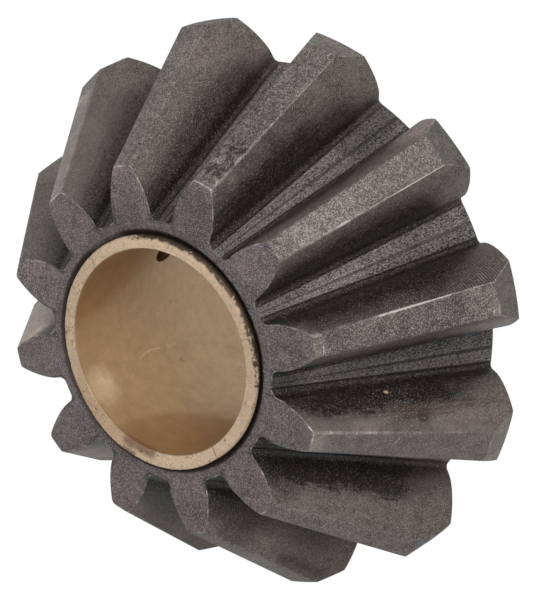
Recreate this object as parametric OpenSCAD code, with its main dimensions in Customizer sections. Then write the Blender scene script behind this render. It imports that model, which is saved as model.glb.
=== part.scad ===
// Straight bevel pinion of a heavy axle differential, with a plain bronze bush pressed into its bore.
// Z is the axis. The pinion stands on the flat ring of its back face at z = 0 with its small end, the toe, up.
// Every tooth surface runs to one point on the axis, the pitch apex, so each tooth space is a pyramid.

/* [Gear pair] */
// Teeth on this pinion
teeth = 12; // [10:1:16]
// Teeth on the side gear that it meshes with, which sets the pitch angle
mate_teeth = 20; // [16:1:26]
// Module at the large end: pitch diameter divided by the number of teeth
outer_module = 7.05; // [6:0.05:8.5]
// Width of the teeth along the pitch cone
face_width = 35.8; // [28:0.1:40]

/* [Tooth form at the large end] */
// Pressure angle of the flanks in degrees
pressure_angle = 22.5; // [18:0.5:25]
// Height of a tooth above the pitch cone
addendum = 6.6; // [5:0.05:7.5]
// Depth of a tooth space below the pitch cone
dedendum = 5.7; // [4.5:0.05:6.5]
// Thickness of a tooth on the pitch circle
tooth_thickness = 11.85; // [10:0.05:12]
// Radius between the flank and the bottom of the space
root_fillet = 1.3; // [0.8:0.1:2.4]

/* [Blank] */
// Depth turned off the tooth tips round the heel
heel_trim = 2.8; // [1:0.1:4]
// Radius of the spherical thrust back
back_radius = 73; // [64:0.5:90]
// Outer diameter of the flat ring round the bore at the back
back_flat_d = 48; // [44:0.5:56]
// Chamfer of the bore at the toe face
toe_chamfer = 0.8; // [0.3:0.1:1.2]
// Chamfer of the bore at the back
back_chamfer = 1.5; // [0.5:0.1:2.5]

/* [Bush] */
// Bore of the bush, the diameter of the cross pin
bush_bore = 32; // [28:0.5:33]
// Wall of the bush
bush_wall = 2; // [1.5:0.1:2.4]
// Height of the bush above the toe face
bush_proud = 0.55; // [0.2:0.05:1.5]
// Depth of the end of the bush below the flat ring at the back
bush_recess = 0.7; // [0.2:0.1:3]
// Chamfer on the inner edges of the bush
bush_inner_chamfer = 0.3; // [0.1:0.05:0.8]
// Chamfer on the outer edges of the bush
bush_outer_chamfer = 0.4; // [0.1:0.05:0.8]
// Radial gap between the bush and the bore, none for the press fit
press_gap = 0; // [0:0.01:0.1]

/* [Oil hole] */
// Diameter of the hole that lets oil from a tooth space to the bore
oil_hole_d = 5; // [3:0.1:5.5]
// Height of the hole above the flat ring at the back
oil_hole_z = 20; // [16:0.1:24]
// Tooth space that the hole is drilled in, counted from the one on +X
oil_hole_space = 5; // [0:1:9]

/* [Hidden] */
$fn = 120;
sphere_fn = 240;
flank_steps = 16;
fillet_steps = 6;
half_turn = 180;

// Pitch cone
pitch_angle = atan2(teeth, mate_teeth);
pitch_r = outer_module * teeth / 2;
cone_dist = pitch_r / sin(pitch_angle);
face_angle = pitch_angle + atan2(addendum, cone_dist);

// Heights above the flat ring: the sphere's centre, the pitch point of the heel, the apex and the toe face
sphere_z = sqrt(pow(back_radius, 2) - pow(back_flat_d / 2, 2));
heel_z = sphere_z - sqrt(pow(back_radius, 2) - pow(pitch_r, 2));
apex_z = heel_z + cone_dist * cos(pitch_angle);
toe_z = apex_z - (cone_dist - face_width) * cos(pitch_angle);

// Radii of the tooth tips at the toe and of the turned band at the heel, and the height where that band ends
toe_r = (apex_z - toe_z) * tan(face_angle);
heel_r = pitch_r + addendum * cos(pitch_angle) - heel_trim;
land_z = apex_z - heel_r / tan(face_angle);

// The bore holds the bush, and the bush takes its outside from the bore
bore_r = bush_bore / 2 + bush_wall;
bush_r = bore_r - press_gap;

// Tooth form on the back cone rolled out flat, where the teeth are those of a spur gear of this pitch radius
flat_pitch_r = cone_dist * tan(pitch_angle);
flat_base_r = flat_pitch_r * cos(pressure_angle);
flat_root_r = flat_pitch_r - dedendum;
flat_tip_r = flat_pitch_r + addendum;
flat_half_pitch = half_turn / teeth * cos(pitch_angle);

// Involute function, in degrees
function involute(angle) = tan(angle) * half_turn / PI - angle;

// Half angle of a tooth and of a tooth space at a radius of the flat back cone
base_half_angle = tooth_thickness / 2 / flat_pitch_r * half_turn / PI + involute(pressure_angle);
function tooth_half_angle(r) = base_half_angle - involute(acos(min(1, flat_base_r / r)));
function space_half_angle(r) = flat_half_pitch - tooth_half_angle(r);

// The fillet touches the bottom of the space and the flank, and is limited by half of that bottom
function fillet_end_r(f) = sqrt(pow(flat_root_r, 2) + 2 * flat_root_r * f);
fillet = min(root_fillet, flat_root_r * sin(space_half_angle(flat_root_r)) * 0.9);
fillet_mid_r = flat_root_r + fillet;
fillet_turn = asin(fillet / fillet_mid_r);
fillet_angle = space_half_angle(fillet_end_r(fillet)) - fillet_turn;

// One side of a tooth space as [angle, radius] on the flat back cone, from its bottom outwards
function fillet_point(t) =
    let (turn = fillet_angle + half_turn - t * (90 - fillet_turn))
    let (x = fillet_mid_r * sin(fillet_angle) + fillet * sin(turn))
    let (y = fillet_mid_r * cos(fillet_angle) + fillet * cos(turn))
    [atan2(x, y), norm([x, y])];
function flank_point(t) =
    let (start = fillet_end_r(fillet))
    let (r = start + t * (flat_tip_r + addendum / 2 - start))
    [space_half_angle(r), r];
space_side = concat(
    [for (i = [0 : fillet_steps]) fillet_point(i / fillet_steps)],
    [for (i = [1 : flank_steps]) flank_point(i / flank_steps)]
);

// The same side where its rays from the apex meet a plane square to the axis, at a distance below the apex
function on_plane(p, side, dist) =
    let (turn = side * p[0] / cos(pitch_angle))
    let (r = dist * tan(pitch_angle + atan2(p[1] - flat_pitch_r, cone_dist)))
    [r * cos(turn), r * sin(turn)];
function space_outline(dist) = concat(
    [for (i = [len(space_side) - 1 : -1 : 0]) on_plane(space_side[i], -1, dist)],
    [for (p = space_side) on_plane(p, 1, dist)]
);

// Turned blank with its bore, before the teeth are cut
module blank() {
    intersection() {
        rotate_extrude()
            polygon([
                [bore_r, back_chamfer],
                [bore_r + back_chamfer, 0],
                [heel_r, 0],
                [heel_r, land_z],
                [toe_r, toe_z],
                [bore_r + toe_chamfer, toe_z],
                [bore_r, toe_z - toe_chamfer]
            ]);
        translate([0, 0, sphere_z])
            sphere(r = back_radius, $fn = sphere_fn);
    }
}

// Pyramid from below the back to the apex, whose sides are the flanks of two neighbouring teeth
module tooth_space() {
    linear_extrude(height = apex_z, scale = 0)
        polygon(space_outline(apex_z));
}

// Radial drill from the axis out through the bottom of one tooth space
module oil_hole() {
    rotate([0, 0, oil_hole_space * 2 * half_turn / teeth])
        translate([0, 0, oil_hole_z])
            rotate([0, 90, 0])
                cylinder(d = oil_hole_d, h = heel_r);
}

// The gear, with a tooth space centred on +X
module pinion_gear() {
    color([0.31, 0.30, 0.30])
        difference() {
            blank();
            for (i = [0 : teeth - 1])
                rotate([0, 0, i * 2 * half_turn / teeth])
                    tooth_space();
            oil_hole();
        }
}

// The bush, from just inside the back to just above the toe face
module bushing() {
    color([0.72, 0.60, 0.43])
        difference() {
            rotate_extrude()
                polygon([
                    [bush_bore / 2, bush_recess + bush_inner_chamfer],
                    [bush_bore / 2 + bush_inner_chamfer, bush_recess],
                    [bush_r - bush_outer_chamfer, bush_recess],
                    [bush_r, bush_recess + bush_outer_chamfer],
                    [bush_r, toe_z + bush_proud - bush_outer_chamfer],
                    [bush_r - bush_outer_chamfer, toe_z + bush_proud],
                    [bush_bore / 2 + bush_inner_chamfer, toe_z + bush_proud],
                    [bush_bore / 2, toe_z + bush_proud - bush_inner_chamfer]
                ]);
            oil_hole();
        }
}

pinion_gear();
bushing();
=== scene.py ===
"""Worn steel differential pinion with its bronze bush, in plain studio light, seen as in the photograph."""

import logging
import math
from dataclasses import dataclass, field
from enum import Enum
from functools import cached_property
from typing import Any, Dict, List, Optional, Sequence, Tuple, Union

import bpy
import numpy as np
from mathutils import Matrix, Vector


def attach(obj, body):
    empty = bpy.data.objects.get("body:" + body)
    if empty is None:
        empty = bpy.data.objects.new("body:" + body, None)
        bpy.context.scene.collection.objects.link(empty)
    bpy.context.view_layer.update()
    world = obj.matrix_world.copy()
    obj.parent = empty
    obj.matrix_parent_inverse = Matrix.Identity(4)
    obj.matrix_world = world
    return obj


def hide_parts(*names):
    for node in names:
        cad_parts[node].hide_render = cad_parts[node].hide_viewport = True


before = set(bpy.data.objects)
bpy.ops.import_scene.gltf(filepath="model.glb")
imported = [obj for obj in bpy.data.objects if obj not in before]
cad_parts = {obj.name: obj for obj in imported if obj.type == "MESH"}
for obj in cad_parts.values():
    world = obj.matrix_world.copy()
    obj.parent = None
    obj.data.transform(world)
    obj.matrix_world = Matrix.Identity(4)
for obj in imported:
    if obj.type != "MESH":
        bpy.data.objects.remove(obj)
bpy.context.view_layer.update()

log = logging.getLogger("pinion")
MM = 0.001
ROOT_BODY = "root"
TOOTH_CO = "tooth_co"
RING_FACE = "ring_face"
RING_OUTER = "ring_outer"
SHARP = math.radians(38.0)
TEETH = 12
NOISE_MEAN = 0.5
MARK_SLOTS = {"FLOAT": ("value", 1), "FLOAT_VECTOR": ("vector", 3)}
MIX_COLOURS = (6, 7)
MIX_RESULT = 2

Colour = Tuple[float, float, float]
Point = Tuple[float, float, float]
Name = Union[int, str]
Span = Tuple[float, float]

BEND_FADE = np.array([0.9, 0.5, 0.1, 0.0])[:, None]
BEND_GROW = np.array([0.0, 0.4, 0.8, 1.0])[:, None]
BEND_AWAY = np.array([0.5, 0.0, 0.5, 1.0])[:, None]
ORIGIN: Point = (0.0, 0.0, 0.0)
ACROSS: Point = (1.0, 1.0, 0.0)
WHITE = (1.0, 1.0, 1.0, 1.0)


class Mark(Enum):
    """Values that the gear's mesh carries for its finish, one float per vertex."""

    DEPTH = "depth"
    TIP = "tip_mm"
    FOOT = "foot_mm"
    END = "toe_mm"
    HEEL = "heel_mm"
    TOE = "toe_face"
    LAND = "top_land"
    BAND = "heel_band"
    BACK = "thrust_back"
    GROOVE = "bore_chamfer"


@dataclass(frozen=True)
class Noise:
    """A noise of a finish: cells per unit, octaves, strength of the finer ones, distortion and stretch."""

    scale: float
    detail: float = 2.0
    rough: float = 0.55
    warp: float = 0.0
    stretch: Optional[Point] = None


class Sock:
    """A value socket of a shader. Arithmetic on it adds Math nodes and gives the new socket."""

    def __init__(self, graph: "Graph", socket: bpy.types.NodeSocket) -> None:
        """Wraps one output socket of a graph."""
        self.graph = graph
        self.socket = socket

    def _math(self, operation: str, *values: Any) -> "Sock":
        """Adds a Math node.

        Args:
            operation: the Math node's operation.
            values: its inputs, sockets or numbers.
        Returns:
            The node's result.
        """
        return self.graph.node("ShaderNodeMath", {"operation": operation}, dict(enumerate(values)))

    def __add__(self, other: Any) -> "Sock":
        """Sum."""
        return self._math("ADD", self, other)

    def __radd__(self, other: Any) -> "Sock":
        """Sum with a number on the left."""
        return self._math("ADD", other, self)

    def __sub__(self, other: Any) -> "Sock":
        """Difference."""
        return self._math("SUBTRACT", self, other)

    def __rsub__(self, other: Any) -> "Sock":
        """Difference from a number on the left."""
        return self._math("SUBTRACT", other, self)

    def __mul__(self, other: Any) -> "Sock":
        """Product."""
        return self._math("MULTIPLY", self, other)

    def __rmul__(self, other: Any) -> "Sock":
        """Product with a number on the left."""
        return self._math("MULTIPLY", other, self)

    def __abs__(self) -> "Sock":
        """Size without sign."""
        return self._math("ABSOLUTE", self)

    def sine(self) -> "Sock":
        """Sine of an angle in radians."""
        return self._math("SINE", self)

    def angle(self, x: Any) -> "Sock":
        """Angle of the direction that has this value as y and another as x."""
        return self._math("ARCTAN2", self, x)

    def swing(self, amount: Any) -> "Sock":
        """Noise taken about 0 instead of about its mean, times an amount."""
        return (self - NOISE_MEAN) * amount

    def least(self, other: Any) -> "Sock":
        """The smaller of two values."""
        return self._math("MINIMUM", self, other)

    def most(self, other: Any) -> "Sock":
        """The larger of two values."""
        return self._math("MAXIMUM", self, other)

    def rise(self, zero: float, one: float) -> "Sock":
        """A smooth step.

        Args:
            zero: where the step is 0.
            one: where the step is 1; it may lie below zero.
        Returns:
            The step, from 0 to 1.
        """
        ends = (0.0, 1.0) if zero < one else (1.0, 0.0)
        inputs = {0: self, 1: min(zero, one), 2: max(zero, one), 3: ends[0], 4: ends[1]}
        return self.graph.node("ShaderNodeMapRange", {"interpolation_type": "SMOOTHSTEP"}, inputs)


class Graph:
    """The node tree of one material or of the world, filled from code."""

    def __init__(self, owner: Any) -> None:
        """Empties the owner's node tree.

        Args:
            owner: a material or a world.
        """
        owner.use_nodes = True
        self.tree = owner.node_tree
        self.tree.nodes.clear()

    def node(
        self,
        kind: str,
        settings: Optional[Dict[str, Any]] = None,
        inputs: Optional[Dict[Name, Any]] = None,
        output: Name = 0,
    ) -> Sock:
        """Adds any node.

        Args:
            kind: the node's type.
            settings: its properties, set first.
            inputs: values or links by socket name or number.
            output: the socket to give back.
        Returns:
            That output, or the first input of a node that has none.
        """
        made = self.tree.nodes.new(kind)
        for name, value in (settings or {}).items():
            setattr(made, name, value)
        for name, value in (inputs or {}).items():
            if isinstance(value, Sock):
                self.tree.links.new(value.socket, made.inputs[name])
            else:
                made.inputs[name].default_value = value
        return Sock(self, made.outputs[output] if made.outputs else made.inputs[0])

    def mark(self, mark: Mark) -> Sock:
        """The value that the mesh carries under a mark."""
        return self.attribute(mark.value, "Fac")

    def attribute(self, name: str, output: str) -> Sock:
        """An attribute of the mesh, as a number or a vector."""
        return self.node("ShaderNodeAttribute", {"attribute_name": name}, {}, output)

    @cached_property
    def place(self) -> Sock:
        """Object coordinates in millimetres, from one node for the whole graph."""
        here = self.node("ShaderNodeTexCoord", {}, {}, "Object")
        return self.scaled(here, (1.0 / MM,) * 3)

    def vector(self, operation: str, *values: Any, output: Name = 0) -> Sock:
        """Adds a Vector Math node.

        Args:
            operation: the node's operation.
            values: its inputs, sockets, vectors or numbers.
            output: the socket to give back.
        Returns:
            The node's result.
        """
        return self.node("ShaderNodeVectorMath", {"operation": operation}, dict(enumerate(values)), output)

    def part(self, vector: Sock, axis: str) -> Sock:
        """One part of a vector: X, Y or Z."""
        return self.node("ShaderNodeSeparateXYZ", {}, {0: vector}, axis)

    def scaled(self, vector: Sock, factors: Sequence[float]) -> Sock:
        """A vector with each part multiplied by its own factor."""
        return self.vector("MULTIPLY", vector, tuple(factors))

    def distance(self, vector: Sock, point: Any) -> Sock:
        """Distance of a vector from a point, which may be fixed or a socket."""
        return self.vector("DISTANCE", vector, point, output="Value")

    def dot(self, vector: Sock, fixed: Sequence[float]) -> Sock:
        """Dot product of a vector with a fixed one."""
        return self.vector("DOT_PRODUCT", vector, tuple(fixed), output="Value")

    def radius(self) -> Sock:
        """Distance of the place from the Z axis."""
        return self.distance(self.scaled(self.place, ACROSS), ORIGIN)

    def noise(self, vector: Sock, noise: Noise) -> Sock:
        """Reads a noise.

        Args:
            vector: where it is read.
            noise: its settings.
        Returns:
            The noise, about its mean.
        """
        at = self.scaled(vector, noise.stretch) if noise.stretch else vector
        inputs: Dict[Name, Any] = {"Vector": at, "Scale": noise.scale, "Detail": noise.detail}
        inputs.update({"Roughness": noise.rough, "Distortion": noise.warp})
        return self.node("ShaderNodeTexNoise", {}, inputs, "Fac")

    def specks(self, vector: Sock, scale: float, size: float, core: float = 0.3) -> Sock:
        """Round specks at scattered points.

        Args:
            vector: where they are read.
            scale: points per unit of the vector.
            size: distance from a point at which its speck ends.
            core: share of the size that is whole.
        Returns:
            The specks, 0 to 1.
        """
        inputs = {"Vector": vector, "Scale": scale, "Randomness": 1.0}
        near = self.node("ShaderNodeTexVoronoi", {"feature": "F1"}, inputs, "Distance")
        return near.rise(size, size * core)

    def mix(self, factor: Any, first: Any, second: Any, blend: str = "MIX") -> Sock:
        """Mixes two colours.

        Args:
            factor: 0 gives the first, 1 the second.
            first: colour or socket.
            second: colour or socket.
            blend: the blend mode.
        Returns:
            The mixed colour.
        """
        inputs: Dict[Name, Any] = {0: factor}
        for slot, value in zip(MIX_COLOURS, (first, second)):
            inputs[slot] = value if isinstance(value, Sock) else (*value, 1.0)
        settings = {"data_type": "RGBA", "blend_type": blend, "clamp_factor": True}
        return self.node("ShaderNodeMix", settings, inputs, MIX_RESULT)

    def tinted(self, colour: Sock, gain: Sock) -> Sock:
        """A colour multiplied by a grey gain."""
        grey = self.node("ShaderNodeCombineColor", {}, {0: gain, 1: gain, 2: gain})
        return self.mix(1.0, colour, grey, "MULTIPLY")

    def bump(self, height: Sock, depth_mm: float) -> Sock:
        """A bumped normal for a height whose unit stands for depth_mm."""
        inputs = {"Height": height, "Strength": 1.0, "Distance": depth_mm * MM}
        return self.node("ShaderNodeBump", {}, inputs)

    def surface(self, inputs: Dict[str, Any]) -> None:
        """Adds the Principled shader and the material's output."""
        shader = self.node("ShaderNodeBsdfPrincipled", {}, inputs)
        self.node("ShaderNodeOutputMaterial", {}, {"Surface": shader})


class Region:
    """A part of the object, in millimetres, where the finish differs; subclasses say how far a place is."""

    radius: float
    soft: float

    def away(self, g: Graph) -> Sock:
        """Distance of the graph's place from the region's middle."""
        raise NotImplementedError

    def mask(self, g: Graph) -> Sock:
        """1 inside the region and 0 outside, with a soft edge."""
        return self.away(g).rise(self.radius * (1.0 + self.soft), self.radius * (1.0 - self.soft))


@dataclass(frozen=True)
class Spot(Region):
    """A round region; flatten squeezes distances along Z."""

    centre: Point
    radius: float
    soft: float = 0.5
    flatten: float = 1.0

    def away(self, g: Graph) -> Sock:
        """Distance from the centre.

        Args:
            g: the graph.
        Returns:
            The distance in millimetres.
        """
        squeeze = (1.0, 1.0, self.flatten)
        middle = tuple(c * s for c, s in zip(self.centre, squeeze))
        return g.distance(g.scaled(g.place, squeeze), middle)


@dataclass(frozen=True)
class Stroke(Region):
    """A region along a straight line between two places."""

    start: Point
    end: Point
    radius: float
    soft: float = 0.5

    def away(self, g: Graph) -> Sock:
        """Distance from the nearest place on the line: its share along the leg is held between 0 and 1.

        Args:
            g: the graph.
        Returns:
            The distance in millimetres.
        """
        start = np.array(self.start)
        leg = np.array(self.end) - start
        step = leg / (leg @ leg)
        along = (g.dot(g.place, step) - float(start @ step)).most(0.0).least(1.0)
        return g.distance(g.place, g.vector("MULTIPLY_ADD", tuple(leg), along, tuple(start)))


def vertex_places(mesh: bpy.types.Mesh) -> np.ndarray:
    """Places of a mesh's vertices.

    Args:
        mesh: the mesh.
    Returns:
        One row of x, y and z per vertex, in millimetres.
    """
    flat = np.empty(len(mesh.vertices) * 3)
    mesh.vertices.foreach_get("co", flat)
    return flat.reshape(-1, 3) / MM


def any_of(g: Graph, regions: Sequence[Region]) -> Sock:
    """The strongest mask of several regions.

    Args:
        g: the graph.
        regions: the regions.
    Returns:
        1 inside any of them, 0 outside all.
    """
    found = regions[0].mask(g)
    for region in regions[1:]:
        found = found.most(region.mask(g))
    return found


@dataclass(frozen=True)
class OilPatch:
    """A region with more dried oil on the flanks, or with less where amount is below 0.

    The change sets in at start and is whole at full, both as shares of the tooth's depth.
    """

    region: Region
    start: float
    full: float
    amount: float


class Zone(Enum):
    """Surfaces of the gear that a tone is limited to."""

    TOE = "toe"
    LAND = "land"
    FLANK = "flank"
    ROOT = "root"
    SIDE = "side"
    BAND = "band"


@dataclass(frozen=True)
class Tone:
    """A region painted lighter or darker than the rest; change is the share of light gained or lost. Some
    tones are the steel's own, others are painted light on a flank turned away from the lamp and painted
    shade under the toe.
    """

    region: Region
    zone: Zone
    change: float


@dataclass(frozen=True)
class OilHole:
    """A radial hole from the bottom of a tooth space through the gear and the bush, in millimetres."""

    radius: float = 2.5
    height: float = 20.0
    turn: float = math.radians(150.0)
    start: float = 8.0
    end: float = 37.0
    sides: int = 64
    hair: float = 0.06
    hair_soft: float = 0.02
    touching: float = 0.002
    searched: float = 3.0

    def at(self, reach: float) -> Point:
        """The place on the hole's axis at a distance from the gear's axis."""
        return (reach * math.cos(self.turn), reach * math.sin(self.turn), self.height)

    def shaded_lining(self) -> Stroke:
        """The hole and a hair round it, where the finishes paint shade on the hole's walls."""
        return Stroke(self.at(self.start), self.at(self.end), self.radius + self.hair, self.hair_soft)

    def away(self, points: np.ndarray) -> np.ndarray:
        """Distances of points from the hole's axis.

        Args:
            points: rows of x, y and z.
        Returns:
            One distance per row, endless for points on the other side of the gear.
        """
        along = np.array(self.at(1.0)) - np.array(self.at(0.0))
        leg = points - np.array(self.at(0.0))
        return np.where(leg @ along > 0, np.linalg.norm(np.cross(leg, along), axis=1), np.inf)

    def tool(self) -> bpy.types.Object:
        """A closed cylinder along the hole: a circle at each end, joined by four-sided faces.

        Returns:
            The cutting object, which drill removes again.
        """
        side = np.arange(self.sides) * 2 * math.pi / self.sides
        across = np.array([-math.sin(self.turn), math.cos(self.turn), 0.0])
        up = np.array([0.0, 0.0, 1.0])
        circle = self.radius * (np.cos(side)[:, None] * across + np.sin(side)[:, None] * up)
        points = np.concatenate([circle + self.at(self.start), circle + self.at(self.end)])
        near = np.arange(self.sides)
        far = near + self.sides
        walls = np.stack([near, np.roll(near, -1), np.roll(far, -1), far], axis=-1)
        mesh = bpy.data.meshes.new("drill")
        mesh.from_pydata((points * MM).tolist(), [], walls.tolist() + [far.tolist(), near[::-1].tolist()])
        piece = bpy.data.objects.new("drill", mesh)
        bpy.context.scene.collection.objects.link(piece)
        return piece

    def drill(self, piece: bpy.types.Object) -> None:
        """Cuts the hole out of a piece; the new rim and wall take the marks of the nearest old vertices.

        Args:
            piece: the piece, with its marks.
        """
        tool = self.tool()
        cut = piece.modifiers.new("oil_hole", "BOOLEAN")
        cut.operation = "DIFFERENCE"
        cut.solver = "EXACT"
        cut.object = tool
        whole = piece.data
        bpy.context.view_layer.update()
        worked = piece.evaluated_get(bpy.context.evaluated_depsgraph_get())
        drilled = bpy.data.meshes.new_from_object(worked)
        piece.modifiers.remove(cut)
        old, new = vertex_places(whole), vertex_places(drilled)
        fresh = np.flatnonzero(self.away(new) < self.radius + self.touching)
        close = np.flatnonzero(self.away(old) < self.searched * self.radius)
        gaps = np.linalg.norm(new[fresh, None] - old[None, close], axis=-1)
        source = close[np.argmin(gaps, axis=1)]
        marks = [a for a in whole.attributes if a.data_type in MARK_SLOTS and a.name != "position"]
        for layer in marks:
            slot, width = MARK_SLOTS[layer.data_type]
            before, after = np.empty(len(old) * width), np.empty(len(new) * width)
            layer.data.foreach_get(slot, before)
            drilled.attributes[layer.name].data.foreach_get(slot, after)
            after.reshape(-1, width)[fresh] = before.reshape(-1, width)[source]
            drilled.attributes[layer.name].data.foreach_set(slot, after)
        drilled.polygons.foreach_set("use_smooth", np.ones(len(drilled.polygons), dtype=bool))
        drilled.set_sharp_from_angle(angle=SHARP)
        piece.data = drilled
        name = whole.name
        bpy.data.objects.remove(tool)
        bpy.data.meshes.remove(whole)
        drilled.name = name


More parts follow.
